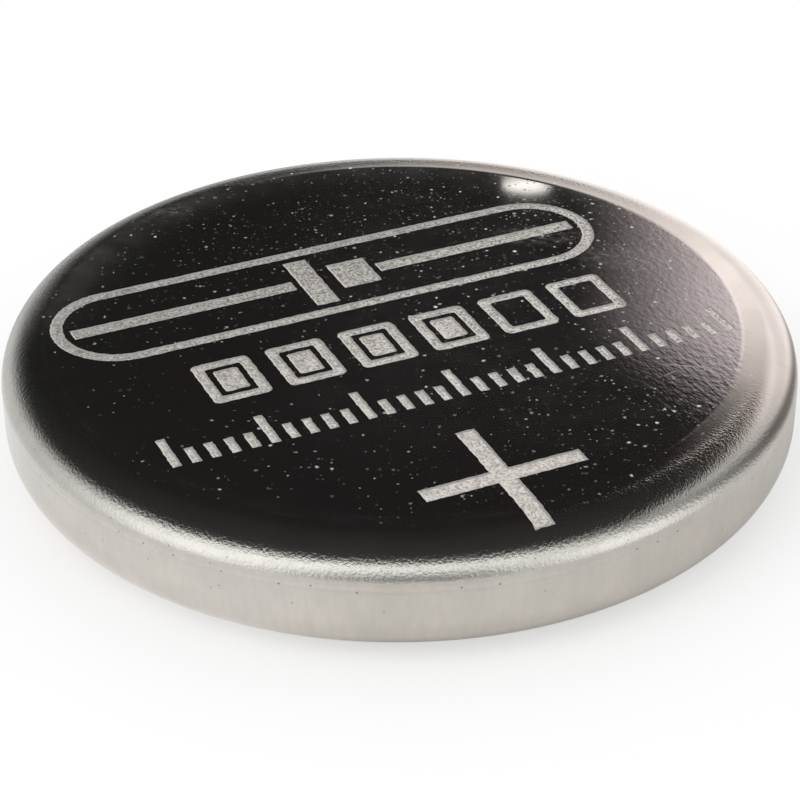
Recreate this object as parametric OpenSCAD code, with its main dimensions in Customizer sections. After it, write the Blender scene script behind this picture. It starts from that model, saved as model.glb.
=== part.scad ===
// Lithium coin cell of the common 20 mm by 3.2 mm size, lying on its negative contact.
// The origin is the centre of the negative contact, and +Z runs up to the positive face.
// Every round piece is one section in the plane of radius and height, turned about the axis.

/* [Cell] */
// Outside diameter of the cell
cell_d = 20; // [16:0.1:24.5]
// Height from the negative contact to the positive face
cell_h = 3.2; // [2.8:0.1:5]

/* [Positive can] */
// Sheet thickness of the can
can_t = 0.25; // [0.18:0.01:0.3]
// Outside radius where the face is drawn down into the wall
can_shoulder_r = 0.95; // [0.5:0.05:1.1]
// Outside radius of the curl that crimps the lip inwards
crimp_r = 1.05; // [0.8:0.05:1.15]
// Angle that the crimped lip turns through, 90 being level
crimp_turn = 105; // [92:1:120]
// Height of the crimp's lowest point above the negative contact
crimp_lift = 0.2; // [0.1:0.01:0.4]

/* [Gasket] */
// Thickness of the seal squeezed between the can and the cap
seal_t = 0.3; // [0.2:0.01:0.34]
// Width of the seal that shows between the lip's end and the cap
seal_show = 0.28; // [0.15:0.01:0.6]
// Depth of the seal's bead below the crimp's outside face
seal_recess = 0.1; // [0.05:0.01:0.15]
// Thickness of the leg that holds the inside of the cap's skirt
seal_leg_t = 0.3; // [0.15:0.01:0.4]
// Length of that leg, below the seal's floor
seal_leg_h = 0.7; // [0.3:0.05:0.9]

/* [Negative cap] */
// Sheet thickness of the cap
cap_t = 0.25; // [0.18:0.01:0.3]
// Outside radius round the edge of the contact
cap_edge_r = 0.45; // [0.32:0.01:0.5]
// Outside radius in the corner where the cap steps out under the lip
cap_step_r = 0.12; // [0.05:0.01:0.15]

/* [Lithium disc] */
// Thickness of the lithium foil
lithium_t = 0.6; // [0.3:0.01:0.8]

/* [Separator] */
// Thickness of the nonwoven separator
separator_t = 0.1; // [0.05:0.01:0.2]
// Height of the separator's turned-up rim
separator_rim_h = 0.6; // [0.2:0.05:0.9]

/* [Cathode pellet] */
// Chamfer that the press leaves round both ends of the pellet
pellet_chamfer = 0.15; // [0.05:0.01:0.3]

/* [Collector grid] */
// Thickness of the grid welded inside the can
grid_t = 0.1; // [0.05:0.01:0.2]
// How far the grid's edge lies inside the pellet's edge
grid_inset = 0.7; // [0.3:0.1:2]
// Distance from one opening to the next
grid_pitch = 1.3; // [1.2:0.05:2.5]
// Width of the bars between the openings
grid_bar = 0.4; // [0.2:0.05:0.6]
// Width of the plain band round the grid
grid_rim = 0.35; // [0.2:0.05:1]

/* [Clearances] */
// Gap between the moulded seal and the metal round it
seal_gap = 0.01; // [0.005:0.005:0.02]
// Gap round each disc inside the piece that holds it
disc_gap = 0.05; // [0.02:0.01:0.1]

/* [Hidden] */
$fn = 96;

can_r = cell_d / 2;
// Inside face of the can's end, which everything in the cell is stacked against
can_end_z = cell_h - can_t;
// Centre of the crimp's curl, in the section
curl_r = can_r - crimp_r;
curl_z = crimp_lift + crimp_r;
lip_end_r = curl_r + crimp_r * cos(crimp_turn);

// The cap follows the inside of the curl, one seal's thickness away
cap_r = lip_end_r - seal_show;
cap_bore_r = cap_r - cap_t;
step_z = crimp_lift + can_t + seal_t;
skirt_r = can_r - can_t - seal_t;
skirt_corner_r = crimp_r - can_t - seal_t;
skirt_end_z = can_end_z - seal_t;

seal_leg_outer_r = skirt_r - cap_t - seal_gap;
seal_leg_r = seal_leg_outer_r - seal_leg_t;
seal_leg_z = skirt_end_z - seal_leg_h;

// The stack, from the cap up to the can's end
lithium_z = cap_t;
separator_z = lithium_z + lithium_t;
pellet_z = separator_z + separator_t;
grid_z = can_end_z - grid_t;

// Each disc is sized by what holds it
lithium_r = cap_r - cap_edge_r - disc_gap;
separator_r = cap_bore_r - disc_gap;
pellet_r = separator_r - separator_t - disc_gap;
grid_r = pellet_r - grid_inset;
grid_hole = grid_pitch - grid_bar;

// Longer than any section, for cuts that run past it
past = cell_d + cell_h;

// Quarter of a round, from the origin into +X and +Y
module quarter_round(r) {
  intersection() {
    circle(r);
    square(r);
  }
}

// Section of a solid drum out to r, its upper corner rounded
module drum_section(r, z_low, z_high, corner_r) {
  translate([0, z_low])
    square([r, z_high - corner_r - z_low]);
  translate([0, z_high - corner_r])
    square([r - corner_r, corner_r]);
  translate([r - corner_r, z_high - corner_r])
    quarter_round(corner_r);
}

// Section of a solid pan out to r, its lower corner rounded
module pan_section(r, z_low, z_high, corner_r) {
  translate([0, z_low + z_high])
    mirror([0, 1])
      drum_section(r, z_low, z_high, corner_r);
}

// Wedge of a section, from level outwards down through the given angle
module wedge_section(angle) {
  polygon([[0, 0], [past, 0], [past, -past], [past * cos(angle), -past * sin(angle)]]);
}

// Section of the can, its faces moved out by grow, which leaves room round it in other pieces
module can_section(grow = 0) {
  difference() {
    drum_section(can_r + grow, curl_z, cell_h + grow, can_shoulder_r + grow);
    drum_section(can_r - can_t - grow, 0, can_end_z - grow, can_shoulder_r - can_t - grow);
  }
  translate([curl_r, curl_z])
    intersection() {
      difference() {
        circle(crimp_r + grow);
        circle(crimp_r - can_t - grow);
      }
      wedge_section(crimp_turn + asin(grow / crimp_r));
    }
}

// Section of the space that the cap encloses, up to end_z, its faces moved out by grow
module cap_fill(grow, end_z) {
  fillet_r = cap_step_r - grow;
  pan_section(cap_r + grow, -grow, end_z, cap_edge_r + grow);
  pan_section(skirt_r + grow, step_z - grow, end_z, skirt_corner_r + grow);
  translate([cap_r + cap_step_r, step_z - cap_step_r])
    difference() {
      translate([-fillet_r, 0])
        square(fillet_r);
      circle(fillet_r);
    }
}

// Deep-drawn can: end, shoulder and wall in one sheet, its lip crimped over the seal
module positive_can() {
  color([0.78, 0.77, 0.75])
    rotate_extrude()
      can_section();
}

// Stepped cap: contact, wall, step under the lip, and skirt up inside the seal
module negative_cap() {
  color([0.8, 0.79, 0.77])
    rotate_extrude()
      difference() {
        cap_fill(0, skirt_end_z);
        cap_fill(-cap_t, past);
      }
}

// Seal of J section: it follows the curl and the wall, and turns in round the skirt's end
module gasket() {
  mid_sheet = can_t / 2;
  color([0.16, 0.16, 0.17])
    rotate_extrude() {
      difference() {
        union() {
          drum_section(can_r - mid_sheet, curl_z, cell_h - mid_sheet, can_shoulder_r - mid_sheet);
          translate([curl_r, curl_z])
            intersection() {
              circle(crimp_r - seal_recess);
              wedge_section(180);
            }
        }
        can_section(seal_gap);
        cap_fill(seal_gap, skirt_end_z + seal_gap);
        translate([0, skirt_end_z])
          square([seal_leg_r, past]);
      }
      translate([seal_leg_r, seal_leg_z])
        square([seal_leg_t, seal_leg_h + seal_t / 2]);
    }
}

// Disc punched from lithium foil and pressed on to the cap
module lithium_disc() {
  color([0.62, 0.63, 0.66])
    translate([0, 0, lithium_z])
      cylinder(r = lithium_r, h = lithium_t);
}

// Shallow nonwoven cup that keeps the pellet off the lithium and the cap
module separator() {
  color([0.93, 0.93, 0.9])
    translate([0, 0, separator_z])
      difference() {
        cylinder(r = separator_r, h = separator_t + separator_rim_h);
        translate([0, 0, separator_t])
          cylinder(r = separator_r - separator_t, h = past);
      }
}

// Pressed manganese dioxide pellet, from the separator up to the collector
module cathode_pellet() {
  pellet_h = grid_z - pellet_z;
  chamfered_r = pellet_r - pellet_chamfer;
  color([0.13, 0.13, 0.13])
    translate([0, 0, pellet_z])
      rotate_extrude()
        polygon([[0, 0], [chamfered_r, 0], [pellet_r, pellet_chamfer],
                 [pellet_r, pellet_h - pellet_chamfer], [chamfered_r, pellet_h], [0, pellet_h]]);
}

// Metal grid between the pellet and the can's end, with every opening whole
module collector_grid() {
  open_r = grid_r - grid_rim;
  steps = floor(open_r / grid_pitch);
  color([0.7, 0.7, 0.7])
    translate([0, 0, grid_z])
      linear_extrude(grid_t)
        difference() {
          circle(grid_r);
          for (column = [-steps:steps], row = [-steps:steps]) {
            x = column * grid_pitch;
            y = row * grid_pitch;
            if (norm([abs(x) + grid_hole / 2, abs(y) + grid_hole / 2]) <= open_r)
              translate([x, y])
                square(grid_hole, center = true);
          }
        }
}

positive_can();
gasket();
negative_cap();
lithium_disc();
separator();
cathode_pellet();
collector_grid();
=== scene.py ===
"""Looks of a lithium coin cell of the common 20 mm by 3.2 mm size, in the order it is put together.

Sections are written in millimetres, as radius and height, and go into the meshes in metres.
"""

import math

import bpy
import numpy as np
from mathutils import Matrix, Vector
from mathutils.geometry import delaunay_2d_cdt


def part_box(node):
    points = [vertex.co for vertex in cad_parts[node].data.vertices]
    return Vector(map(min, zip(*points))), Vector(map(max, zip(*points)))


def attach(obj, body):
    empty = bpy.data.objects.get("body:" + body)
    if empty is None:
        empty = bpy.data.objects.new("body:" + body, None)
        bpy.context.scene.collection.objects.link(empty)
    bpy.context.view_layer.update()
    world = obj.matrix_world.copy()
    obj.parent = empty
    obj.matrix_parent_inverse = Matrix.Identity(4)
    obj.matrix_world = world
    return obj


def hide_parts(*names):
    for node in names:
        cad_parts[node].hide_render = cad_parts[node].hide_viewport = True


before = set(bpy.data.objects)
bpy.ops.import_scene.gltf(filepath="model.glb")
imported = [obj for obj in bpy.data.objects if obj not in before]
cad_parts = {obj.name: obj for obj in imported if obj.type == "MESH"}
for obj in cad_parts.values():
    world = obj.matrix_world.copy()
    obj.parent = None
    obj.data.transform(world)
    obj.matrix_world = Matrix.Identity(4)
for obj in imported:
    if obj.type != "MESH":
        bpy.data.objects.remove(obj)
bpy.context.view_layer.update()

# Negative cap
# The stepped cap that closes the cell and is its negative contact. It is pressed from thin
# steel sheet, plated with nickel and left satin, and the rest of the cell is built up inside it.

MM = 0.001
SHEET_T = 0.25
CURL_R = 1.05
SEAL_T = 0.3
STEEL_EDGE = 0.03

cell_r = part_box("positive_can")[1].x / MM
cell_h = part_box("positive_can")[1].z / MM
cap_skirt_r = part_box("negative_cap")[1].x / MM
cap_skirt_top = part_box("negative_cap")[1].z / MM
curl_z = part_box("positive_can")[0].z / MM + CURL_R
curl_mid_r = cell_r - CURL_R

CAP_R = 8.398
CAP_EDGE_R = 0.45
CAP_STEP_R = 0.12
cap_step_z = curl_z - CURL_R + SHEET_T + SEAL_T
cap_corner_r = CURL_R - SHEET_T - SEAL_T


def rounded(corners, closed=False, arc_step=5.0):
    """Section through corners of (radius, height, fillet), as stretches of (start, end, start
    normal, end normal). A fillet is the arc that touches both straight lines at its corner, cut
    into equal angles, and its normals point along its radius. A line's normal is its direction
    turned a quarter to the left, which is outwards when the section is followed clockwise."""
    points = np.array([c[:2] for c in corners], float)
    fillets = np.array([c[2] for c in corners], float)
    count = len(points)
    rows = []
    place = points[0]
    order = list(range(count)) + [0] if closed else list(range(count))
    for before, here, after in zip(order[:-2], order[1:-1], order[2:]):
        into = points[here] - points[before]
        out = points[after] - points[here]
        into /= np.linalg.norm(into)
        out /= np.linalg.norm(out)
        turn = math.atan2(into[0] * out[1] - into[1] * out[0], into @ out)
        side = 1 if turn > 0 else -1
        reach = fillets[here] * math.tan(abs(turn) / 2)
        left = np.array([-into[1], into[0]])
        arc_start = points[here] - into * reach
        rows.append([place, arc_start, left, left])
        place = arc_start
        if fillets[here] > 0:
            centre = arc_start + left * fillets[here] * side
            steps = max(3, math.ceil(abs(math.degrees(turn)) / arc_step))
            swing = np.arange(steps + 1) * turn / steps
            spoke = arc_start - centre
            arc = centre + np.stack([spoke[0] * np.cos(swing) - spoke[1] * np.sin(swing),
                                     spoke[0] * np.sin(swing) + spoke[1] * np.cos(swing)], 1)
            normals = (centre - arc) * side / fillets[here]
            rows += [list(row) for row in zip(arc[:-1], arc[1:], normals[:-1], normals[1:])]
            place = arc[-1]
    last = points[order[-1]] - place
    last /= np.linalg.norm(last)
    left = np.array([-last[1], last[0]])
    rows.append([place, points[order[-1]], left, left])
    return np.array(rows)


AROUND = 360


def revolved(section, closed=False):
    """Surface of revolution: section point (r, z) turned to (r cos a, r sin a, z) at equal angles.
    Gives the vertices, the faces and each face corner's normal. A point on the axis is one
    vertex, and the faces there are triangles."""
    ring = np.vstack([section[:, 0], section[-1:, 1]])
    if closed:
        ring = ring[:-1]
    angles = np.arange(AROUND) * 2 * math.pi / AROUND
    spokes = np.stack([np.cos(angles), np.sin(angles)], 1)
    vertices, starts = [], []
    total = 0
    for r, z in ring:
        starts.append(total)
        on_axis = r < 1e-6
        circle = [[0, 0, z]] if on_axis else np.column_stack([spokes * r, np.full(AROUND, z)])
        vertices.append(circle)
        total += len(circle)
    sizes = np.array([len(v) for v in vertices])
    starts = np.array(starts)
    here = np.arange(AROUND)
    there = (here + 1) % AROUND
    faces, normals = [], []
    for k, (start, end, n_start, n_end) in enumerate(section):
        a, b = k % len(ring), (k + 1) % len(ring)
        a_here = starts[a] + here % sizes[a]
        a_there = starts[a] + there % sizes[a]
        b_here = starts[b] + here % sizes[b]
        b_there = starts[b] + there % sizes[b]
        if sizes[a] == 1:
            corners, turns, sides = [a_here, b_here, b_there], [here, here, there], [n_start, n_end, n_end]
        elif sizes[b] == 1:
            corners, turns, sides = [a_here, b_here, a_there], [here, here, there], [n_start, n_end, n_start]
        else:
            corners = [a_here, b_here, b_there, a_there]
            turns, sides = [here, here, there, there], [n_start, n_end, n_end, n_start]
        faces.append(np.stack(corners, 1))
        normals.append(np.stack([np.column_stack([spokes[t] * n[0], np.full(AROUND, n[1])])
                                 for t, n in zip(turns, sides)], 1))
    return np.vstack(vertices), faces, normals


def put_mesh(name, vertices, faces, normals, materials):
    """New piece from vertices in millimetres, face blocks, corner normals and its materials."""
    mesh = bpy.data.meshes.new(name)
    mesh.from_pydata((vertices * MM).tolist(), [], [f for block in faces for f in block.tolist()])
    mesh.polygons.foreach_set("use_smooth", np.ones(len(mesh.polygons), bool))
    mesh.normals_split_custom_set(np.vstack([block.reshape(-1, 3) for block in normals]).tolist())
    for material in materials:
        mesh.materials.append(material)
    piece = bpy.data.objects.new(name, mesh)
    bpy.context.scene.collection.objects.link(piece)
    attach(piece, "root")
    return piece


class Finish:
    """One material: a Principled shader whose constants sit on its sockets, and its pattern nodes."""

    def __init__(self, name, **constants):
        self.material = bpy.data.materials.new(name)
        self.material.use_nodes = True
        self.tree = self.material.node_tree
        self.shader = self.tree.nodes["Principled BSDF"]
        for socket, value in constants.items():
            self.shader.inputs[socket.replace("_", " ")].default_value = value

    def feed(self, socket, value):
        """Links a socket, or writes a constant on it."""
        if isinstance(value, bpy.types.NodeSocket):
            self.tree.links.new(value, socket)
        else:
            socket.default_value = value

    def node(self, kind, inputs, **settings):
        """New node with its settings, and its inputs by name or number."""
        made = self.tree.nodes.new("ShaderNode" + kind)
        for name, value in settings.items():
            setattr(made, name, value)
        for socket, value in inputs.items():
            self.feed(made.inputs[socket], value)
        return made

    def place(self, stretch=(1, 1, 1), turn=0.0):
        """Object coordinates in millimetres, turned about the axis and then stretched."""
        spot = self.node("TexCoord", {}).outputs["Object"]
        turned = self.node("Mapping", {"Vector": spot, "Rotation": (0, 0, turn)}).outputs[0]
        scale = [s / MM for s in stretch]
        return self.node("VectorMath", {0: turned, 1: scale}, operation="MULTIPLY").outputs[0]

    def maths(self, operation, *values):
        return self.node("Math", dict(enumerate(values)), operation=operation).outputs[0]

    def noise(self, vector, scale, detail=2.0, roughness=0.5):
        """Smooth noise from 0 to 1, scale being about the number of blobs in a millimetre."""
        inputs = {"Vector": vector, "Scale": scale, "Detail": detail, "Roughness": roughness}
        return self.node("TexNoise", inputs).outputs["Fac"]

    def wobble(self, vector, scale, reach):
        """The vector pushed about by noise, by up to reach millimetres, which makes shapes ragged."""
        push = self.node("TexNoise", {"Vector": vector, "Scale": scale, "Detail": 1.0}).outputs["Color"]
        inputs = {0: push, 1: (reach, reach, reach), 2: vector}
        return self.node("VectorMath", inputs, operation="MULTIPLY_ADD").outputs[0]

    def cells(self, vector, scale, flat=False):
        """Distance to the nearest of scattered points, and that point's random colour. Flat cells
        reach right through the piece, so that none of them is cut by the surface."""
        made = self.node("TexVoronoi", {"Vector": vector, "Scale": scale},
                         voronoi_dimensions="2D" if flat else "3D")
        return made.outputs["Distance"], made.outputs["Color"]

    def fade(self, value, low, high, out_low=0.0, out_high=1.0):
        """Smooth step: out_low up to low, out_high from high on."""
        inputs = {"Value": value, "From Min": low, "From Max": high,
                  "To Min": out_low, "To Max": out_high}
        return self.node("MapRange", inputs, interpolation_type="SMOOTHSTEP").outputs[0]

    def blend(self, share, first, second):
        """Colour between two colours."""
        made = self.node("Mix", {"Factor": share}, data_type="RGBA")
        self.feed(made.inputs[6], first)
        self.feed(made.inputs[7], second)
        return made.outputs[2]

    def bump(self, height, depth, below=None):
        """Surface normal over a height pattern from 0 to 1 that is depth millimetres deep."""
        made = self.node("Bump", {"Height": height, "Distance": depth * MM})
        if below is not None:
            self.feed(made.inputs["Normal"], below)
        return made.outputs[0]

    def set(self, **sockets):
        for socket, value in sockets.items():
            self.feed(self.shader.inputs[socket.replace("_", " ")], value)
        return self.material


def cap_nickel():
    """Satin nickel on rolled sheet: fine straight rolling lines, small pits and soft mottling."""
    finish = Finish("satin_nickel", Metallic=1.0)
    lines = finish.noise(finish.place(stretch=(1, 14, 1)), 2.2, 4.0, 0.6)
    mottle = finish.noise(finish.place(), 0.5, 3.0)
    pits, spread = finish.cells(finish.place(), 4.0)
    pit = finish.maths("MULTIPLY", finish.fade(pits, 0.16, 0.08), finish.fade(spread, 0.55, 0.7))
    colour = finish.blend(finish.fade(mottle, 0.3, 0.7), (0.60, 0.565, 0.52, 1), (0.67, 0.635, 0.59, 1))
    colour = finish.blend(pit, colour, (0.3, 0.27, 0.24, 1))
    roughness = finish.fade(lines, 0.25, 0.75, 0.22, 0.36)
    return finish.set(Base_Color=colour, Roughness=roughness, Normal=finish.bump(lines, 0.0015))


cap_section = rounded([
    (0, SHEET_T, 0),
    (CAP_R - SHEET_T, SHEET_T, CAP_EDGE_R - SHEET_T),
    (CAP_R - SHEET_T, cap_step_z + SHEET_T, CAP_STEP_R + SHEET_T),
    (cap_skirt_r - SHEET_T, cap_step_z + SHEET_T, cap_corner_r - SHEET_T),
    (cap_skirt_r - SHEET_T, cap_skirt_top, STEEL_EDGE),
    (cap_skirt_r, cap_skirt_top, STEEL_EDGE),
    (cap_skirt_r, cap_step_z, cap_corner_r),
    (CAP_R, cap_step_z, CAP_STEP_R),
    (CAP_R, 0, CAP_EDGE_R),
    (0, 0, 0),
])
cap = put_mesh("stepped_cap", *revolved(cap_section), [cap_nickel()])
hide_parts("negative_cap")

# Gasket
# The seal of J section, moulded in dark polypropylene. It is pushed on to the cap's skirt, and
# the crimp squeezes it until a bead of it stands out between the lip and the cap.

SEAL_GAP = 0.01
SEAL_RECESS = 0.1
SEAL_LEG_R = 8.89
SEAL_LEG_Z = 1.95
SHOULDER_R = 0.95
CRIMP_TURN = 105
PAST_LIP_TURN = 0.55
BEAD_ROUND = 0.05

seal_turn = math.radians(CRIMP_TURN + PAST_LIP_TURN)
seal_out_r = cell_r - SHEET_T - SEAL_GAP
seal_curl_r = CURL_R - SHEET_T - SEAL_GAP
seal_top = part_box("gasket")[1].z / MM
bead_r = CURL_R - SEAL_RECESS
bead_end_r = CAP_R + SEAL_GAP
bead_end_z = curl_z - math.sqrt(bead_r**2 - (curl_mid_r - bead_end_r) ** 2)


def on_curl(radius, turn):
    """Point at a radius from the curl's centre, turned down from level by an angle."""
    return curl_mid_r + radius * math.cos(turn), curl_z - radius * math.sin(turn)


def seal_plastic():
    """Matt dark polypropylene with a faint moulded grain, a little dulled in patches."""
    finish = Finish("moulded_seal", IOR=1.49)
    grain = finish.noise(finish.place(), 9.0, 4.0, 0.6)
    dull = finish.noise(finish.place(), 1.3, 2.0)
    colour = finish.blend(dull, (0.022, 0.022, 0.024, 1), (0.045, 0.044, 0.044, 1))
    return finish.set(Base_Color=colour, Roughness=finish.fade(dull, 0.2, 0.8, 0.4, 0.58),
                      Normal=finish.bump(grain, 0.004))


seal_section = rounded([
    (SEAL_LEG_R, (SEAL_LEG_Z + seal_top) / 2, 0),
    (SEAL_LEG_R, seal_top, 0.02),
    (seal_out_r, seal_top, SHOULDER_R - SHEET_T - SEAL_GAP),
    (seal_out_r, curl_z - seal_curl_r * math.tan(seal_turn / 2), seal_curl_r),
    (*on_curl(seal_curl_r - 0.02, seal_turn), 0),
    (*on_curl(bead_r, seal_turn), BEAD_ROUND),
    (bead_end_r, bead_end_z, BEAD_ROUND),
    (bead_end_r, cap_step_z - SEAL_GAP, CAP_STEP_R - SEAL_GAP),
    (cap_skirt_r + SEAL_GAP, cap_step_z - SEAL_GAP, cap_corner_r + SEAL_GAP),
    (cap_skirt_r + SEAL_GAP, cap_skirt_top + SEAL_GAP, 0.03),
    (cap_skirt_r - SHEET_T - SEAL_GAP, cap_skirt_top + SEAL_GAP, 0.03),
    (cap_skirt_r - SHEET_T - SEAL_GAP, SEAL_LEG_Z, 0.05),
    (SEAL_LEG_R, SEAL_LEG_Z, 0.05),
], closed=True)
seal = put_mesh("moulded_gasket", *revolved(seal_section, closed=True), [seal_plastic()])
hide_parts("gasket")

# Lithium disc
# The anode, punched from lithium foil and pressed on to the inside of the cap. It is soft and
# dull, with a skin that darkens in clouds.


def lithium_foil():
    """Soft dull metal: cloudy grey skin over a pale ground, with faint roller marks."""
    finish = Finish("lithium_skin", Metallic=0.8)
    clouds = finish.noise(finish.place(), 0.7, 5.0, 0.6)
    rolled = finish.noise(finish.place(stretch=(9, 1, 1)), 1.5, 3.0)
    colour = finish.blend(clouds, (0.30, 0.31, 0.34, 1), (0.58, 0.59, 0.62, 1))
    return finish.set(Base_Color=colour, Roughness=finish.fade(clouds, 0.3, 0.7, 0.6, 0.4),
                      Normal=finish.bump(rolled, 0.004))


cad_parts["lithium_disc"].material_slots[0].material = lithium_foil()

# Separator
# A shallow cup of white nonwoven polypropylene, laid on the lithium with its rim turned up
# round the pellet.


def nonwoven():
    """Felted white fibres: two crossed layers of stretched noise."""
    finish = Finish("nonwoven_fibres", Roughness=0.85)
    along = finish.noise(finish.place(stretch=(2, 14, 8)), 1.6, 3.0)
    across = finish.noise(finish.place(stretch=(14, 2, 8), turn=0.4), 1.6, 3.0)
    fibres = finish.maths("MAXIMUM", along, across)
    colour = finish.blend(finish.fade(fibres, 0.45, 0.7), (0.72, 0.72, 0.69, 1), (0.9, 0.9, 0.88, 1))
    return finish.set(Base_Color=colour, Normal=finish.bump(fibres, 0.02))


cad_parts["separator"].material_slots[0].material = nonwoven()

# Cathode pellet
# Manganese dioxide and carbon pressed dry into a black pellet, which stands in the separator.


def pressed_powder():
    """Black powder compact: fine grains with sparse paler ones."""
    finish = Finish("manganese_mix", Roughness=0.9)
    grains, shade = finish.cells(finish.place(), 14.0)
    colour = finish.blend(finish.fade(shade, 0.6, 0.95), (0.016, 0.016, 0.017, 1), (0.06, 0.058, 0.055, 1))
    return finish.set(Base_Color=colour, Normal=finish.bump(grains, 0.02))


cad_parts["cathode_pellet"].material_slots[0].material = pressed_powder()

# Collector grid
# Thin steel sheet pierced with square openings and welded inside the can's end, where the
# pellet is pressed against it.


def pierced_sheet():
    """Plain rolled steel with faint straight lines."""
    finish = Finish("rolled_steel", Metallic=1.0)
    lines = finish.noise(finish.place(stretch=(1, 10, 1)), 2.5, 3.0)
    colour = finish.blend(lines, (0.46, 0.45, 0.44, 1), (0.62, 0.61, 0.6, 1))
    return finish.set(Base_Color=colour, Roughness=finish.fade(lines, 0.3, 0.7, 0.3, 0.45))


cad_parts["collector_grid"].material_slots[0].material = pierced_sheet()

# Positive can
# One sheet of steel, deep drawn, plated bright with nickel and crimped over the seal. Its end is
# polished like a mirror, and the signs on it are etched to a frosted white.

LIP_STRAIGHT = 0.06
CROWN_R = 8.52
CROWN_BEND = 0.15
CROWN_TILT = math.radians(4.6)
RIM_R = 9.6
CREASE_DROP = 0.1
CREASE_DEPTH = 0.004
CREASE_HALF = 0.09
ETCH_DEPTH = 0.02
ETCH_SLOPE = 0.05
ETCH_STEP = 0.09
ETCH_RAGGED = 0.007
SIGN_TURN = math.radians(24.3)
PLUS_AT = (2.35, -7.04)
PLUS_REACH = 4.1
PLUS_STROKE = 0.49

# The end is flat to the crown's radius, bends there into a shallow cone, and then rolls down the
# shoulder's arc into the wall
face_r = cell_r - SHOULDER_R
shoulder_start = face_r + SHOULDER_R * math.sin(CROWN_TILT)
crown_w = shoulder_start - CROWN_R
crown_fall = (crown_w - CROWN_BEND / 2) * math.tan(CROWN_TILT)
shoulder_z = cell_h - crown_fall - SHOULDER_R * math.cos(CROWN_TILT)


def end_fall(radius):
    """How far the can's end has fallen at each radius, and its slope there: a parabola through
    the bend, then a straight line."""
    past = np.clip(radius - CROWN_R, 0, crown_w)
    bent = np.clip(past / CROWN_BEND, 0, 1)
    slope = bent * math.tan(CROWN_TILT)
    fall = slope * (past - bent * CROWN_BEND / 2)
    over = np.clip(radius, shoulder_start, None) - face_r
    height = np.sqrt(SHOULDER_R**2 - over**2)
    on_arc = radius > shoulder_start
    return np.where(on_arc, cell_h - shoulder_z - height, fall), np.where(on_arc, over / height, slope)


curl_turn = math.radians(CRIMP_TURN) - LIP_STRAIGHT / CURL_R
inner_curl = CURL_R - SHEET_T
lip_way = np.array([-math.sin(curl_turn), -math.cos(curl_turn)])
lip_out = np.array(on_curl(CURL_R, curl_turn)) + lip_way * LIP_STRAIGHT
lip_in = np.array(on_curl(inner_curl, curl_turn)) + lip_way * LIP_STRAIGHT
crease_z = shoulder_z - CREASE_DROP

rim_tilt = math.asin((RIM_R - face_r) / SHOULDER_R)
tilts = np.linspace(rim_tilt, math.pi / 2, 18)
spokes = np.stack([np.sin(tilts), np.cos(tilts)], 1)
arc = spokes * SHOULDER_R + (face_r, shoulder_z)
shoulder_section = np.stack([arc[:-1], arc[1:], spokes[:-1], spokes[1:]], 1)

can_section = np.vstack([shoulder_section, rounded([
    (cell_r, shoulder_z, 0),
    (cell_r, crease_z + CREASE_HALF * 0.9, 0.12),
    (cell_r - CREASE_DEPTH, crease_z, 0.12),
    (cell_r, crease_z - CREASE_HALF, 0.12),
    (cell_r, curl_z - CURL_R * math.tan(curl_turn / 2), CURL_R),
    (*lip_out, 0.04),
    (*lip_in, 0.04),
    (cell_r - SHEET_T, curl_z - inner_curl * math.tan(curl_turn / 2), inner_curl),
    (cell_r - SHEET_T, cell_h - SHEET_T, SHOULDER_R - SHEET_T),
    (0, cell_h - SHEET_T, 0),
], arc_step=3.5)])


def bar(u, v, width, height, round_r=0.0):
    """Upright rectangle about (u, v), its corners cut to short arcs, followed anticlockwise."""
    half_w, half_h = width / 2, height / 2
    if round_r == 0:
        return np.array([[u - half_w, v - half_h], [u + half_w, v - half_h],
                         [u + half_w, v + half_h], [u - half_w, v + half_h]])
    swing = np.linspace(0, math.pi / 2, max(4, round(round_r * 14)))
    arc = np.stack([np.cos(swing), np.sin(swing)], 1) * round_r
    middle = np.array([half_w - round_r, half_h - round_r])
    corners = []
    for quarter, (side_u, side_v) in enumerate(((1, 1), (-1, 1), (-1, -1), (1, -1))):
        turn = quarter * math.pi / 2
        turned = arc @ np.array([[math.cos(turn), math.sin(turn)], [-math.sin(turn), math.cos(turn)]])
        corners.append(turned + middle * (side_u, side_v))
    outline = np.vstack(corners) + (u, v)
    return outline[np.linalg.norm(outline - np.roll(outline, 1, axis=0), axis=1) > 1e-6]


def hole(outline):
    """The same outline followed clockwise, as the inner edge of a frame or ring."""
    return outline[::-1]


def plus_outline(u, v, reach, width):
    """Plus sign about (u, v), followed anticlockwise."""
    arm, half = reach / 2, width / 2
    corner = np.array([[arm, -half], [arm, half], [half, half]])
    quarters = [corner @ np.array([[c, s], [-s, c]]) for c, s in ((1, 0), (0, 1), (-1, 0), (0, -1))]
    return np.vstack(quarters) + (u, v)


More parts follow.
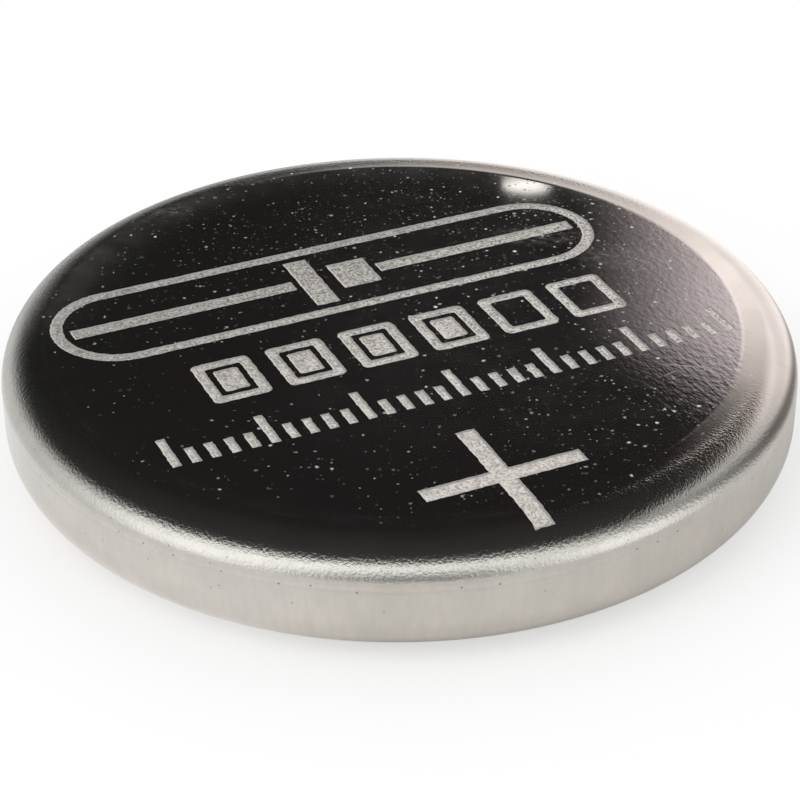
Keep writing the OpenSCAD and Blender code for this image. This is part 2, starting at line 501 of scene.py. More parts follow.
# Plain signs in four rows: a cell's circuit sign in a long frame, a gauge of six blocks, a scale
# of short and long strokes, and the plus of the positive pole
def etched_signs():
    """Every outline of the signs, in millimetres along and across the rows. None of them meets
    another, because a point that an odd number of outlines enclose is etched."""
    middle, row, stroke = -0.7, 2.75, 0.32
    frame_w, frame_h, frame_r = 15.0, 3.5, 1.75
    signs = [bar(middle, row, frame_w, frame_h, frame_r),
             hole(bar(middle, row, frame_w - 2 * stroke, frame_h - 2 * stroke, frame_r - stroke)),
             bar(-4.71, row, 5.98, 0.45), bar(-1.25, row, 0.62, 2.4),
             bar(-0.05, row, 1.05, 1.3), bar(3.46, row, 5.65, 0.45)]
    block_pitch, block_row, filled_blocks = 1.94, -0.86, 4
    for block in range(6):
        u = (block - 2.5) * block_pitch
        signs.append(bar(u, block_row, 1.5, 1.86, 0.16))
        signs.append(hole(bar(u, block_row, 0.94, 1.3, 0.06)))
        if block < filled_blocks:
            signs.append(bar(u, block_row, 0.64, 1.0, 0.08))
    tick_pitch, tick_foot, tick_w = 0.49, -3.93, 0.23
    for tick in range(-15, 16):
        height = 1.25 if tick % 5 == 0 else 0.66
        signs.append(bar(tick * tick_pitch, tick_foot + height / 2, tick_w, height))
    return signs


def face_to_uv(x, y):
    """A point of the face, along and across the rows."""
    c, s = math.cos(SIGN_TURN), math.sin(SIGN_TURN)
    return c * x + s * y, c * y - s * x


def walked(outline, step):
    """The outline with each side cut into equal steps."""
    after = np.roll(outline, -1, axis=0)
    parts = np.maximum(1, np.ceil(np.linalg.norm(after - outline, axis=1) / step)).astype(int)
    index = np.repeat(np.arange(len(outline)), parts)
    share = np.concatenate([np.arange(n) / n for n in parts])[:, None]
    return outline[index] * (1 - share) + after[index] * share


def inset(outline, width):
    """The outline moved to its left by width, each corner along its mitre."""
    into = outline - np.roll(outline, 1, axis=0)
    out = np.roll(outline, -1, axis=0) - outline
    into /= np.linalg.norm(into, axis=1)[:, None]
    out /= np.linalg.norm(out, axis=1)[:, None]
    left_in = np.stack([-into[:, 1], into[:, 0]], 1)
    left_out = np.stack([-out[:, 1], out[:, 0]], 1)
    mitre = left_in + left_out
    return outline + mitre * width / (1 + (left_in * left_out).sum(1))[:, None]


def inside(points, outlines):
    """Whether each point lies inside the outlines: a line from it crosses them an odd number of times."""
    crossings = np.zeros(len(points), int)
    for outline in outlines:
        after = np.roll(outline, -1, axis=0)
        spans = (outline[None, :, 1] > points[:, None, 1]) != (after[None, :, 1] > points[:, None, 1])
        rise = after[:, 1] - outline[:, 1]
        slope = (after[:, 0] - outline[:, 0]) / np.where(rise == 0, 1, rise)
        at = outline[None, :, 0] + (points[:, None, 1] - outline[None, :, 1]) * slope[None]
        crossings += (spans & (points[:, None, 0] < at)).sum(1)
    return crossings % 2 == 1


def etched_face(rim):
    """The can's end inside the rim, triangulated with each sign's edge and, a slope's width inside
    it, the edge of its floor, which lies the etch's depth lower. Rings of points let it follow the
    crown and the start of the shoulder. Gives vertices, triangles, each corner's normal, a kind
    for each triangle (0 the polish, 1 the slope, 2 the floor) and each vertex's place on the rim."""
    ragged = np.random.default_rng(20)
    c, s = math.cos(SIGN_TURN), math.sin(SIGN_TURN)
    turned = np.array([[c, s], [-s, c]])
    plus = plus_outline(*face_to_uv(*PLUS_AT), PLUS_REACH, PLUS_STROKE)
    edges, floors = [], []
    for sign in etched_signs() + [plus]:
        edge = walked(sign, ETCH_STEP)
        floor = inset(edge, ETCH_SLOPE)
        wander = ragged.normal(0, ETCH_RAGGED, edge.shape).clip(-2 * ETCH_RAGGED, 2 * ETCH_RAGGED)
        edges.append((edge + wander) @ turned)
        floors.append((floor + wander * 0.6) @ turned)
    loops = [rim] + edges + floors
    starts = np.cumsum([0] + [len(loop) for loop in loops])
    sides = [np.stack([np.arange(len(loop)), np.roll(np.arange(len(loop)), -1)], 1) + start
             for loop, start in zip(loops, starts)]
    rings = [rim * r / RIM_R for r in np.arange(CROWN_R, RIM_R - 0.04, CROWN_BEND / 2)]
    flat = np.vstack(loops + rings)
    found = delaunay_2d_cdt([Vector(p) for p in flat.tolist()], np.vstack(sides).tolist(), [], 0, 1e-7)
    places = np.array([tuple(p) for p in found[0]])
    triangles = np.array(found[2])
    origin = np.array([min(o) if o else -1 for o in found[3]])
    on_floor_edge = (origin >= starts[1 + len(edges)]) & (origin < starts[-1])
    low = on_floor_edge | ((origin >= starts[-1]) & inside(places, floors))
    middles = places[triangles].mean(1)
    kind = inside(middles, edges).astype(int) + inside(middles, floors).astype(int)
    fall, slope = end_fall(np.linalg.norm(places, axis=1))
    vertices = np.column_stack([places, cell_h - fall - np.where(low, ETCH_DEPTH, 0)])
    spots = vertices[triangles]
    facing = np.cross(spots[:, 1] - spots[:, 0], spots[:, 2] - spots[:, 0])
    backwards = facing[:, 2] < 0
    triangles[backwards] = triangles[backwards][:, ::-1]
    facing[backwards] *= -1
    radius = np.maximum(np.linalg.norm(places, axis=1), 1e-6)
    rolling = np.column_stack([places * (slope / radius)[:, None], np.ones(len(places))])
    normals = np.where((kind == 1)[:, None, None], facing[:, None], rolling[triangles])
    normals /= np.linalg.norm(normals, axis=2)[:, :, None]
    return vertices, triangles, normals, kind, np.where(origin < len(rim), origin, -1)


NICKEL = (0.645, 0.61, 0.57, 1)


def dashes(finish, turn, scale, length, chance):
    """Short thin scratches in one direction: cells drawn out along it, most of them left empty."""
    across, pick = finish.cells(finish.place(stretch=(1 / length, 1, 0), turn=turn), scale, flat=True)
    return finish.maths("MULTIPLY", finish.fade(across, 0.035, 0.01), finish.fade(pick, chance, chance + 0.1))


def scratch(finish, spot, start, end, half_width):
    """One straight scratch between two points of the end, thin and fading at its ends."""
    start, end = np.array(start), np.array(end)
    half = np.linalg.norm(end - start) / 2
    way = (end - start) / (2 * half)
    share = []
    for axis, limit in ((way, half), (np.array([-way[1], way[0]]), half_width)):
        on_axis = finish.node("VectorMath", {0: spot, 1: (*axis, 0)}, operation="DOT_PRODUCT").outputs[1]
        off = finish.maths("SUBTRACT", on_axis, float(axis @ (start + end) / 2))
        share.append(finish.fade(finish.maths("ABSOLUTE", off), limit, limit * 0.4))
    return finish.maths("MULTIPLY", *share)


def patch(finish, spot, x, y, half_x, half_y):
    """Soft ellipse about a point of the end."""
    off = finish.node("VectorMath", {0: spot, 1: (x, y, 0)}, operation="SUBTRACT").outputs[0]
    off = finish.node("VectorMath", {0: off, 1: (1 / half_x, 1 / half_y, 0)}, operation="MULTIPLY").outputs[0]
    away = finish.node("VectorMath", {0: off}, operation="LENGTH").outputs[1]
    return finish.fade(away, 1.0, 0.3)


# Where the end is scratched, as start and end, and scuffed, as middle and half sizes
SCRATCHES = (((6.28, -2.15), (8.06, -2.46)), ((6.43, -2.72), (6.79, -2.49)))
SCUFFS = ((3.7, 4.45, 1.7, 0.7), (5.9, 3.3, 1.6, 0.9), (-4.4, 7.75, 0.9, 0.3), (-6.2, 6.1, 0.8, 0.5))


def mirror_nickel():
    """Polished plate on the end, the shoulder and the wall. Dust and pits lie on the end as pale
    ragged specks, in clusters and thicker to the right and the back, with fine scratches, scuffed
    patches and a thin haze. The right of the end has an orange-peel ripple. The shoulder has a
    fine grain, except at its right."""
    finish = Finish("mirror_nickel", Metallic=1.0)
    spot = finish.place()
    axes = finish.node("SeparateXYZ", {0: spot}).outputs
    flat = finish.node("VectorMath", {0: spot, 1: (1, 1, 0)}, operation="MULTIPLY").outputs[0]
    radius = finish.node("VectorMath", {0: flat}, operation="LENGTH").outputs[1]
    outwards = finish.node("VectorMath", {0: flat}, operation="NORMALIZE").outputs[0]
    on_face = finish.fade(radius, face_r + 0.15, face_r - 0.2)
    to_right = finish.fade(axes[0], -7.0, 6.0, 0.4, 1.15)
    crowd = finish.maths("MULTIPLY", to_right, finish.fade(finish.noise(spot, 0.7), 0.3, 0.7, 0.35, 1.7))
    crowd = finish.maths("MULTIPLY", crowd, finish.fade(axes[1], -3.0, 4.0, 0.6, 1.7))
    ragged = finish.wobble(spot, 12.0, 0.07)
    turned = finish.maths("MULTIPLY", finish.maths("ARCTAN2", axes[1], axes[0]), cell_r)
    down = finish.maths("SUBTRACT", axes[2], radius)
    unrolled = finish.node("CombineXYZ", {0: turned, 1: down}).outputs[0]

    def specks(scale, size, share, brightest):
        """Ragged specks of random size and tone, in more of the cells where they crowd. Few of them
        come near the brightest tone."""
        away, pick = finish.cells(ragged, scale, flat=True)
        pick = finish.node("SeparateColor", {0: pick}).outputs
        reach = finish.fade(pick[0], 0.0, 1.0, 0.4 * size * scale, size * scale)
        body = finish.fade(finish.maths("SUBTRACT", reach, away), 0.0, size * scale * 0.5)
        there = finish.maths("LESS_THAN", pick[1], finish.maths("MULTIPLY", crowd, share))
        tone = finish.maths("MULTIPLY", finish.maths("POWER", pick[2], 2.2), brightest)
        return finish.maths("MULTIPLY", finish.maths("MULTIPLY", body, there), tone)

    speck = finish.maths("MAXIMUM", specks(6.0, 0.04, 0.6, 0.4), specks(2.8, 0.062, 0.8, 0.7))
    speck = finish.maths("MAXIMUM", speck, specks(0.9, 0.07, 0.6, 1.0))
    hair = finish.maths("MAXIMUM", dashes(finish, 0.5, 1.9, 8, 0.78), dashes(finish, -0.9, 1.5, 11, 0.82))
    hair = finish.maths("MAXIMUM", hair, dashes(finish, 1.9, 2.3, 7, 0.84))
    hair = finish.maths("MULTIPLY", hair, finish.maths("MULTIPLY", crowd, 0.08))
    for start, end in SCRATCHES:
        line = finish.maths("MULTIPLY", scratch(finish, ragged, start, end, 0.03), 0.3)
        hair = finish.maths("MAXIMUM", hair, line)
    scuffed = 0.0
    for x, y, half_x, half_y in SCUFFS:
        scuffed = finish.maths("MAXIMUM", scuffed, patch(finish, spot, x, y, half_x, half_y))
    rubbed = finish.fade(finish.noise(finish.place(stretch=(0.5, 1, 0), turn=0.4), 7.0, 4.0, 0.7), 0.4, 0.75)
    scuffed = finish.maths("MULTIPLY", finish.maths("MULTIPLY", scuffed, rubbed), 0.2)

    # The haze is thickest along the far edge, and in the middle and to the right it is faint
    far = finish.fade(axes[1], -1.5, 2.0, 0.02, 1.0)
    edge_haze = finish.maths("POWER", finish.fade(radius, 6.8, 9.3), 2.0)
    edge_haze = finish.maths("MULTIPLY", edge_haze, far)
    middle_haze = finish.maths("MULTIPLY", finish.fade(axes[0], -4.5, 1.0), finish.fade(axes[1], -8.0, -3.0))
    cloud = finish.fade(finish.noise(spot, 1.3, 5.0, 0.65), 0.33, 0.7, 0.6, 1.6)
    haze = finish.maths("MULTIPLY_ADD", edge_haze, 0.055, finish.maths("MULTIPLY", middle_haze, 0.01))
    haze = finish.maths("MULTIPLY", haze, cloud)
    rings = finish.node("VectorMath", {0: unrolled, 1: (0.5, 9, 0)}, operation="MULTIPLY").outputs[0]
    rings = finish.maths("MULTIPLY", finish.fade(finish.noise(rings, 1.0, 2.0), 0.5, 0.75), 0.012)
    rings = finish.maths("MULTIPLY", rings, finish.fade(radius, 8.4, 8.9))
    haze = finish.maths("ADD", haze, finish.maths("MAXIMUM", scuffed, rings))
    dust = finish.maths("MAXIMUM", finish.maths("MAXIMUM", speck, hair), haze)
    dust = finish.maths("MULTIPLY", dust, on_face)

    # The far rim is dulled by a film of fine grit
    grit = finish.noise(spot, 14.0, 2.0, 0.6)
    film = finish.maths("MULTIPLY", finish.fade(radius, 8.9, 9.4), finish.fade(radius, 9.9, 9.6))
    film = finish.maths("MULTIPLY", film, finish.fade(grit, 0.3, 0.7, 0.12, 0.3))
    film = finish.maths("MULTIPLY", film, far)
    dust = finish.maths("MAXIMUM", dust, film)

    wall_pits, wall_pick = finish.cells(unrolled, 1.1, flat=True)
    pit = finish.maths("MULTIPLY", finish.fade(wall_pits, 0.033, 0.018), finish.fade(wall_pick, 0.55, 0.6))
    pit = finish.maths("MULTIPLY", pit, finish.fade(radius, 9.45, 9.6, 0.0, 0.55))
    crease_pits, crease_pick = finish.cells(unrolled, 3.0, flat=True)
    off_crease = finish.maths("ABSOLUTE", finish.maths("SUBTRACT", axes[2], crease_z))
    crease_pit = finish.maths("MULTIPLY", finish.fade(crease_pits, 0.11, 0.05),
                              finish.fade(crease_pick, 0.35, 0.4))
    crease_pit = finish.maths("MULTIPLY", crease_pit, finish.fade(off_crease, 0.1, 0.06, 0.0, 0.8))
    pit = finish.maths("MAXIMUM", pit, crease_pit)

    along = finish.maths("MULTIPLY", down, 0.25)
    around = finish.node("VectorMath", {0: outwards, 3: 10.0}, operation="SCALE").outputs[0]
    strip = finish.node("CombineXYZ", {2: along}).outputs[0]
    drawn = finish.node("VectorMath", {0: around, 1: strip}, operation="ADD").outputs[0]
    streaks = finish.noise(drawn, 7.0, 3.0, 0.6)
    grain = finish.noise(drawn, 15.0, 3.0, 0.65)
    shoulder = finish.maths("MULTIPLY", finish.fade(radius, face_r - 0.35, face_r + 0.35),
                            finish.fade(axes[2], shoulder_z + 0.05, shoulder_z + 0.2))
    smooth = finish.maths("MULTIPLY", finish.fade(axes[0], 6.0, 8.5), finish.fade(axes[1], -6.0, -2.0))
    shoulder = finish.maths("MULTIPLY", shoulder, finish.maths("SUBTRACT", 1.0, smooth))

    mottle = finish.noise(spot, 0.9, 4.0, 0.55)
    plate = finish.blend(finish.fade(mottle, 0.35, 0.65), (0.60, 0.572, 0.535, 1), NICKEL)
    shade = finish.maths("MULTIPLY", finish.fade(streaks, 0.35, 0.7), 0.35)
    plate = finish.blend(finish.maths("MULTIPLY", shade, finish.fade(radius, face_r, cell_r)), plate,
                         (0.54, 0.51, 0.475, 1))
    plate = finish.blend(pit, plate, (0.2, 0.17, 0.14, 1))
    colour = finish.blend(dust, plate, (0.85, 0.84, 0.82, 1))

    peel = finish.noise(finish.place(stretch=(0.55, 1, 1), turn=1.15), 8.0, 1.5)
    peeled = finish.maths("MULTIPLY", finish.fade(axes[0], 4.0, 7.0), finish.fade(radius, 8.95, 8.6))
    normal = finish.bump(finish.maths("MULTIPLY", peel, peeled), 0.0015)
    normal = finish.bump(finish.maths("MULTIPLY", grain, shoulder), 0.004, normal)
    normal = finish.bump(finish.maths("MULTIPLY", grit, shoulder), 0.01, normal)
    roughness = finish.maths("ADD", finish.fade(radius, face_r - 0.15, face_r + 0.4, 0.03, 0.17),
                             finish.maths("MULTIPLY", dust, 0.4))
    metal = finish.maths("SUBTRACT", 1.0, finish.maths("MULTIPLY", dust, 0.9))
    return finish.set(Base_Color=colour, Metallic=metal, Roughness=roughness, Normal=normal)


def frosted_nickel():
    """Floor of the etched signs: pale and matt, with dark pits between its grains. Painted shade: its
    tone is painted greyer to the upper left of the rows, and its real pits are painted thicker
    towards the back, where less light falls in."""
    finish = Finish("frosted_nickel", Metallic=0.3)
    spot = finish.place()
    axes = finish.node("SeparateXYZ", {0: spot}).outputs
    grains = finish.noise(spot, 15.0, 2.0, 0.6)
    broad = finish.noise(spot, 4.0, 3.0, 0.6)
    # Painted shade and light: the tone runs from grey at the upper left of the rows to pale at the lower
    # right, for how light falls on the signs
    lower_right = finish.maths("SUBTRACT", axes[0], axes[1])
    lit = finish.fade(lower_right, -8.0, 4.0)
    # Painted shade: the dark pits between the grains are real, but they are painted thicker towards the back
    pits_and_painted_shade = finish.maths("MULTIPLY", finish.fade(grains, 0.55, 0.33),
                          finish.fade(axes[1], -6.0, 3.0, 0.55, 1.0))
    tone = finish.blend(lit, (0.53, 0.498, 0.464, 1), (0.9, 0.848, 0.785, 1))
    tone = finish.blend(finish.fade(broad, 0.62, 0.34, 0.0, 0.42), tone, (0.36, 0.34, 0.32, 1))
    tone = finish.blend(finish.fade(grains, 0.5, 0.68, 0.0, 0.35), tone, (1.0, 0.96, 0.91, 1))
    colour = finish.blend(pits_and_painted_shade, tone, (0.2, 0.19, 0.18, 1))
    return finish.set(Base_Color=colour, Normal=finish.bump(grains, 0.004),
                      Roughness=finish.fade(grains, 0.2, 0.8, 0.5, 0.7))


def slope_nickel():
    """Slopes round the signs: plate eaten to a satin, bright where it faces the light."""
    finish = Finish("etch_slope_nickel", Metallic=0.55)
    fine = finish.noise(finish.place(), 12.0, 2.0)
    colour = finish.blend(fine, (0.6, 0.58, 0.55, 1), (0.8, 0.78, 0.75, 1))
    return finish.set(Base_Color=colour, Roughness=finish.fade(fine, 0.2, 0.8, 0.35, 0.5),
                      Normal=finish.bump(fine, 0.003))


can_vertices, can_faces, can_normals = revolved(can_section)
rim = can_vertices[:AROUND, :2]
end_vertices, end_triangles, end_normals, end_kind, on_rim = etched_face(rim)
new_index = np.where(on_rim >= 0, on_rim, len(can_vertices) + np.cumsum(on_rim < 0) - 1)
can_vertices = np.vstack([can_vertices, end_vertices[on_rim < 0]])
can = put_mesh("drawn_can", can_vertices, can_faces + [new_index[end_triangles]],
               can_normals + [end_normals], [mirror_nickel(), slope_nickel(), frosted_nickel()])
around_faces = sum(len(block) for block in can_faces)
can.data.polygons.foreach_set(
    "material_index", np.concatenate([np.zeros(around_faces, int), end_kind]).astype(np.int32))
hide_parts("positive_can")

# Studio
# A round white table, and a dark tent round it whose soft panels are what the polished metal
# mirrors. The tent is seen only in reflections, so the picture's ground stays white.

FLOOR_R = 24
TENT_R = 3000
FLOOR_HOLE_R = 7.8


def floor_white():
    """White table: half its light is its own, and half is lit, so that it keeps a soft shadow.
    Only in what the metal mirrors near the cell, it is painted: a warm tint, painted shade that darkens it to
    the right, and painted light that brightens a band to its left; past that the metal mirrors the tent.
    From below it is clear."""
    finish = Finish("table_white", Base_Color=(0.95, 0.95, 0.95, 1), Roughness=1.0)
    finish.shader.inputs["Specular IOR Level"].default_value = 0.0
    path = finish.node("LightPath", {}).outputs
    mirrored = finish.maths("MAXIMUM", path["Is Glossy Ray"], path["Is Transmission Ray"])
    to_right = finish.node("SeparateXYZ", {0: finish.place()}).outputs[0]
    # Painted shade: in what the metal mirrors, the table is given a warm tint and painted darker to the right
    mirrored_tint_and_painted_shade = finish.blend(finish.fade(to_right, -11.5, -8.0), (0.93, 0.93, 0.93, 1), (0.95, 0.936, 0.9, 1))
    mirrored_tint_and_painted_shade = finish.blend(finish.fade(to_right, 4.0, 11.0), mirrored_tint_and_painted_shade, (0.8, 0.786, 0.762, 1))
    finish.set(Base_Color=finish.blend(mirrored, (0.95, 0.95, 0.95, 1), mirrored_tint_and_painted_shade))
    glow = finish.node("Emission", {"Color": (1, 1, 1, 1), "Strength": 1.1}).outputs[0]
    # Painted light: in what the metal mirrors, more of the table's own glow is added in a band to the left of
    # the cell
    own = finish.maths("MULTIPLY", finish.fade(to_right, -16.0, -8.0), finish.fade(to_right, 0.0, -5.0))
    share = finish.maths("MAXIMUM", finish.maths("MULTIPLY", path["Is Camera Ray"], 0.5),
                         finish.maths("MULTIPLY", mirrored, finish.maths("MULTIPLY_ADD", own, 0.42, 0.08)))
    lit = finish.node("MixShader", {0: share, 1: finish.shader.outputs[0], 2: glow}).outputs[0]
    clear = finish.node("BsdfTransparent", {}).outputs[0]
    below = finish.maths("MULTIPLY", finish.node("NewGeometry", {}).outputs["Backfacing"],
                         path["Is Camera Ray"])
    from_cell = finish.node("VectorMath", {0: finish.place()}, operation="LENGTH").outputs[1]
    past = finish.maths("MULTIPLY", finish.fade(from_cell, 11.5, 15.5), mirrored)
    whole = finish.node("MixShader", {0: finish.maths("MAXIMUM", below, past), 1: lit, 2: clear}).outputs[0]
    finish.tree.links.new(whole, finish.tree.nodes["Material Output"].inputs["Surface"])
    return finish.material


def disc_with_hole(outer, inner, z):
    """Flat ring between two radii."""
    angles = np.arange(AROUND) * 2 * math.pi / AROUND
    spokes = np.stack([np.cos(angles), np.sin(angles), np.zeros(AROUND)], 1)
    vertices = np.vstack([spokes * inner, spokes * outer]) + (0, 0, z)
    here = np.arange(AROUND)
    there = (here + 1) % AROUND
    return vertices, np.stack([here, here + AROUND, there + AROUND, there], 1)


floor_vertices, floor_faces = disc_with_hole(FLOOR_R, FLOOR_HOLE_R, -0.004)
floor_mesh = bpy.data.meshes.new("table")
floor_mesh.from_pydata((floor_vertices * MM).tolist(), [], floor_faces.tolist())
floor_mesh.materials.append(floor_white())
floor = bpy.data.objects.new("table", floor_mesh)
bpy.context.scene.collection.objects.link(floor)


def tent_light():
    """Light by direction, in degrees: azimuth 0 behind the cell, 90 to its right, and 180 at the
    camera. Each panel is a smooth share of its level, and each dark part takes a share away."""
    finish = Finish("tent_panels")
    spot = finish.node("TexCoord", {}).outputs["Object"]
    way = finish.node("VectorMath", {0: spot}, operation="NORMALIZE").outputs[0]
    x, y, z = finish.node("SeparateXYZ", {0: way}).outputs
    degrees = 180 / math.pi
    rise = finish.maths("MULTIPLY", finish.maths("ARCSINE", z), degrees)
    turn = finish.maths("MULTIPLY", finish.maths("ARCTAN2", x, y), degrees)
    ahead = finish.maths("COSINE", finish.maths("ARCTAN2", x, y))

    def card(middle_turn, middle_rise, half_turn, half_rise, soft):
        """Share of light in an ellipse, fading over soft, a share of its size."""
        off = finish.maths("WRAP", finish.maths("SUBTRACT", turn, middle_turn), 180.0, -180.0)
        up = finish.maths("DIVIDE", finish.maths("SUBTRACT", rise, middle_rise), half_rise)
        both = finish.node("CombineXYZ", {0: finish.maths("DIVIDE", off, half_turn), 1: up}).outputs[0]
        reach = finish.node("VectorMath", {0: both}, operation="LENGTH").outputs[1]
        return finish.fade(reach, 1.0 + soft, 1.0 - soft)

    def add(share, level, light):
        """Adds a share of a level to the light."""
        return finish.maths("MULTIPLY_ADD", share, level, light)

    # The white tent: high in front, low behind, and brightest at the front left and front right
    tent_top = finish.maths("MULTIPLY_ADD", ahead, -15.5, 20.0)
    tent_soft = finish.maths("MULTIPLY_ADD", ahead, 3.4, 12.0)
    white = finish.maths("DIVIDE", finish.maths("SUBTRACT", tent_top, rise), tent_soft)
    white = finish.fade(white, -1.0, 1.0)
    level = add(card(-131, 0, 30, 19, 0.95), 0.84, 0.73)
    level = add(card(178, 19.5, 43, 8, 0.6), 0.6, level)
    level = add(card(131, -6, 27, 13, 0.9), 0.86, level)
    behind = finish.maths("MULTIPLY", finish.fade(turn, -40.0, -8.0), finish.fade(turn, 75.0, 45.0))
    level = finish.maths("MULTIPLY", level, add(behind, -0.35, 1.0))
    white = finish.maths("MULTIPLY", white, level)

    # The large panel behind to the right, whose left edge is sharp high up and soft low down
    high = finish.fade(rise, 12.0, 24.0)
    edge = add(finish.fade(rise, 30.0, 33.5), 4.9, add(high, 12.4, -3.7))
    panel = finish.maths("DIVIDE", finish.maths("SUBTRACT", turn, edge), add(high, -11.9, 16.0))
    panel = finish.maths("MULTIPLY", finish.fade(panel, -1.0, 1.0), finish.fade(rise, 38.6, 26.4))
    panel = finish.maths("MULTIPLY", panel, finish.fade(rise, 14.0, -4.0, 1.14, 1.36))
    panel = finish.maths("MULTIPLY", panel, finish.fade(rise, 20.0, 28.0, 1.0, 1.42))
    dimmed = finish.maths("MULTIPLY", finish.fade(turn, 10.5, 15.0), finish.fade(rise, 23.5, 28.0))
    panel = finish.maths("MULTIPLY", panel, add(dimmed, -0.28, 1.0))
    panel = finish.maths("MULTIPLY", panel, finish.fade(turn, 26.0, 77.0, 1.0, 0.51))
    panel = finish.maths("MULTIPLY", panel, finish.fade(turn, 125.0, 100.0))
    light = finish.maths("MAXIMUM", white, panel)

    # A dark gap that slants up to the right, and a dark opening round the camera
    gap = finish.maths("SUBTRACT", turn, finish.maths("MULTIPLY_ADD", rise, 1.66, 70.5))
    gap = finish.maths("ABSOLUTE", gap)
    gap = finish.maths("MULTIPLY", finish.fade(gap, 32.3, 6.0), finish.fade(rise, 40.0, -5.0))
    light = finish.maths("MULTIPLY", light, add(gap, -0.8, 1.0))
    light = finish.maths("MULTIPLY", light, add(card(173, -11, 35, 11, 0.95), -0.69, 1.0))
    light = finish.maths("ADD", light, finish.maths("MULTIPLY_ADD", y, -0.016, 0.032))
    rosy = finish.maths("MULTIPLY", finish.fade(turn, -12.0, 8.0), finish.fade(turn, 85.0, 40.0))
    mauve = finish.maths("MULTIPLY", finish.fade(rise, 24.0, 30.0), finish.fade(turn, 14.0, 10.0))
    rose = finish.blend(mauve, (1, 0.932, 0.91, 1), (1, 0.905, 0.965, 1))
    tint = finish.blend(rosy, (0.97, 0.998, 0.988, 1), rose)
    glow = finish.node("Emission", {"Color": tint, "Strength": light}).outputs[0]
    finish.tree.links.new(glow, finish.tree.nodes["Material Output"].inputs["Surface"])
    return finish.material


def sphere_grid(radius, turns, rises):
    """Globe of quads: azimuth and elevation at equal steps, its poles closed by triangles."""
    azimuth = np.arange(turns) * 2 * math.pi / turns
    elevation = np.linspace(-math.pi / 2, math.pi / 2, rises + 1)[1:-1]
    a, e = np.meshgrid(azimuth, elevation)
    body = np.stack([np.cos(e) * np.cos(a), np.cos(e) * np.sin(a), np.sin(e)], -1).reshape(-1, 3)
    vertices = np.vstack([body, [[0, 0, -1], [0, 0, 1]]]) * radius
    here = np.arange(turns)
    there = (here + 1) % turns
    faces = []
    for row in range(rises - 2):
        low, high = row * turns, (row + 1) * turns
        faces += np.stack([here + low, there + low, there + high, here + high], 1).tolist()
    top = (rises - 2) * turns
    faces += np.stack([np.full(turns, len(body)), there, here], 1).tolist()
    faces += np.stack([np.full(turns, len(body) + 1), here + top, there + top], 1).tolist()
    return vertices, faces


tent_vertices, tent_faces = sphere_grid(TENT_R, 72, 36)
tent_mesh = bpy.data.meshes.new("tent")
tent_mesh.from_pydata((tent_vertices * MM).tolist(), [], tent_faces)
tent_mesh.materials.append(tent_light())
tent = bpy.data.objects.new("tent", tent_mesh)
bpy.context.scene.collection.objects.link(tent)
tent.visible_camera = False
tent.visible_diffuse = False
tent.visible_shadow = False

world = bpy.data.worlds.new("studio")
bpy.context.scene.world = world
world.use_nodes = True
sky = world.node_tree
sky_light = sky.nodes["Background"]
sky_path = sky.nodes.new("ShaderNodeLightPath")
sky_level = sky.nodes.new("ShaderNodeMapRange")
sky_level.inputs["To Min"].default_value = 0.85
sky_level.inputs["To Max"].default_value = 1.0
seen = sky.nodes.new("ShaderNodeMath")
seen.operation = "ADD"
sky.links.new(sky_path.outputs["Is Glossy Ray"], seen.inputs[0])
sky.links.new(sky_path.outputs["Is Transmission Ray"], seen.inputs[1])
seen_at_all = sky.nodes.new("ShaderNodeMath")
seen_at_all.operation = "ADD"
sky.links.new(sky_path.outputs["Is Camera Ray"], seen_at_all.inputs[0])
sky.links.new(seen.outputs[0], seen_at_all.inputs[1])
sky.links.new(seen_at_all.outputs[0], sky_level.inputs["Value"])
sky.links.new(sky_level.outputs[0], sky_light.inputs["Strength"])
sky_light.inputs["Color"].default_value = (1, 1, 1, 1)
world.cycles_visibility.glossy = False


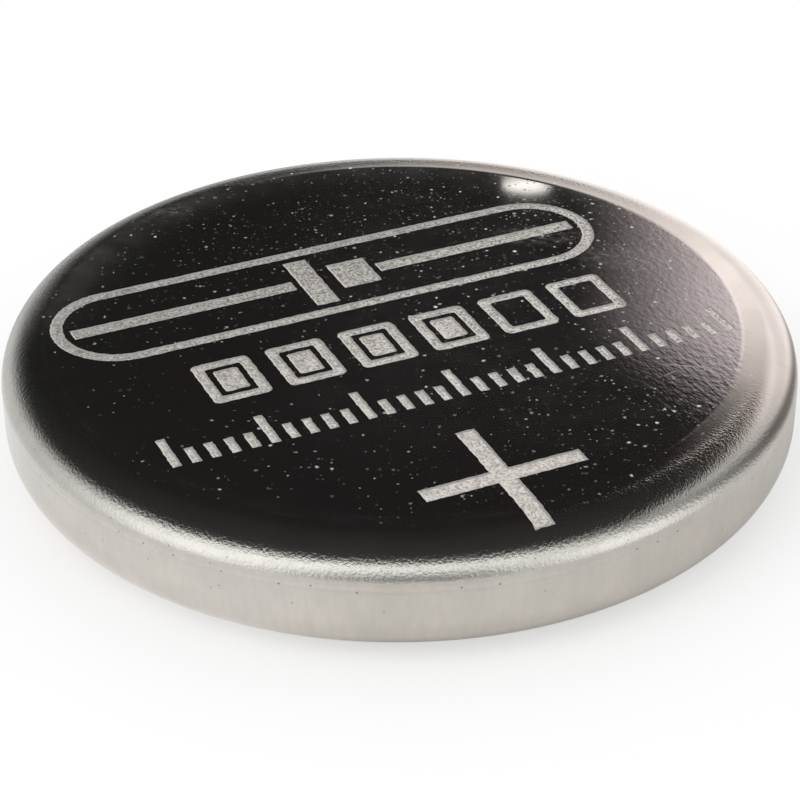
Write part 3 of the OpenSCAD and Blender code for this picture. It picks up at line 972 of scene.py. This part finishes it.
def soft_lamp(name, place, size, level, shape="SQUARE", mirrored=False):
    """Area lamp at a place in millimetres, aimed at the cell. Level is its own brightness."""
    lamp = bpy.data.lights.new(name, "AREA")
    lamp.shape = shape
    lamp.size, lamp.size_y = size[0] * MM, size[1] * MM
    area = lamp.size * lamp.size_y * (math.pi / 4 if shape == "ELLIPSE" else 1)
    lamp.energy = level * math.pi * area
    item = bpy.data.objects.new(name, lamp)
    item.location = Vector(place) * MM
    item.rotation_euler = (-Vector(place)).to_track_quat("-Z", "Y").to_euler()
    item.visible_camera = False
    item.visible_glossy = mirrored
    bpy.context.scene.collection.objects.link(item)
    return item


soft_lamp("soft_key", (-110, -90, 190), (140, 140), 1.6, "RECTANGLE")

# A small lamp behind the cell, which shows as a bright oval near the far edge
LAMP_TURN = math.radians(3.4)
LAMP_RISE = math.radians(26.86)
LAMP_AWAY = 280
lamp_seen_from = np.array([3.46, 7.56, cell_h])
lamp_flat = LAMP_AWAY * math.cos(LAMP_RISE)
lamp_place = lamp_seen_from + np.array([
    lamp_flat * math.sin(LAMP_TURN), lamp_flat * math.cos(LAMP_TURN), LAMP_AWAY * math.sin(LAMP_RISE)])
soft_lamp("small_lamp", lamp_place, (7.0, 2.2), 2.0, "ELLIPSE", mirrored=True)

# Camera
# It looks down on the cell's end from the front. Its direction is turned a little from the aim
# point about its own up, right and view axes, as fitted to the cell's outline.

CAMERA_RISE = 0.5472
CAMERA_AWAY = 61.84
CAMERA_YAW, CAMERA_PITCH, CAMERA_ROLL = -0.0001, -0.0105, 0.0068
CAMERA_LENS = 109.15

aim = Vector((0, 0, cell_h / 2))
back = Vector((0, -math.cos(CAMERA_RISE), math.sin(CAMERA_RISE)))
right, up = Vector((1, 0, 0)), Vector((0, math.sin(CAMERA_RISE), math.cos(CAMERA_RISE)))
yaw = Matrix.Rotation(CAMERA_YAW, 3, up)
back, right = yaw @ back, yaw @ right
pitch = Matrix.Rotation(CAMERA_PITCH, 3, right)
back, up = pitch @ back, pitch @ up
roll = Matrix.Rotation(CAMERA_ROLL, 3, -back)
right, up = roll @ right, roll @ up
camera_data = bpy.data.cameras.new("camera")
camera_data.sensor_width = 36
camera_data.lens = CAMERA_LENS
camera_data.clip_start, camera_data.clip_end = 0.001, 10
camera = bpy.data.objects.new("camera", camera_data)
camera.matrix_world = Matrix((right, up, back)).transposed().to_4x4()
camera.location = (aim + CAMERA_AWAY * Vector((0, -math.cos(CAMERA_RISE), math.sin(CAMERA_RISE)))) * MM
bpy.context.scene.collection.objects.link(camera)
bpy.context.scene.camera = camera
bpy.context.scene.view_settings.view_transform = "Standard"
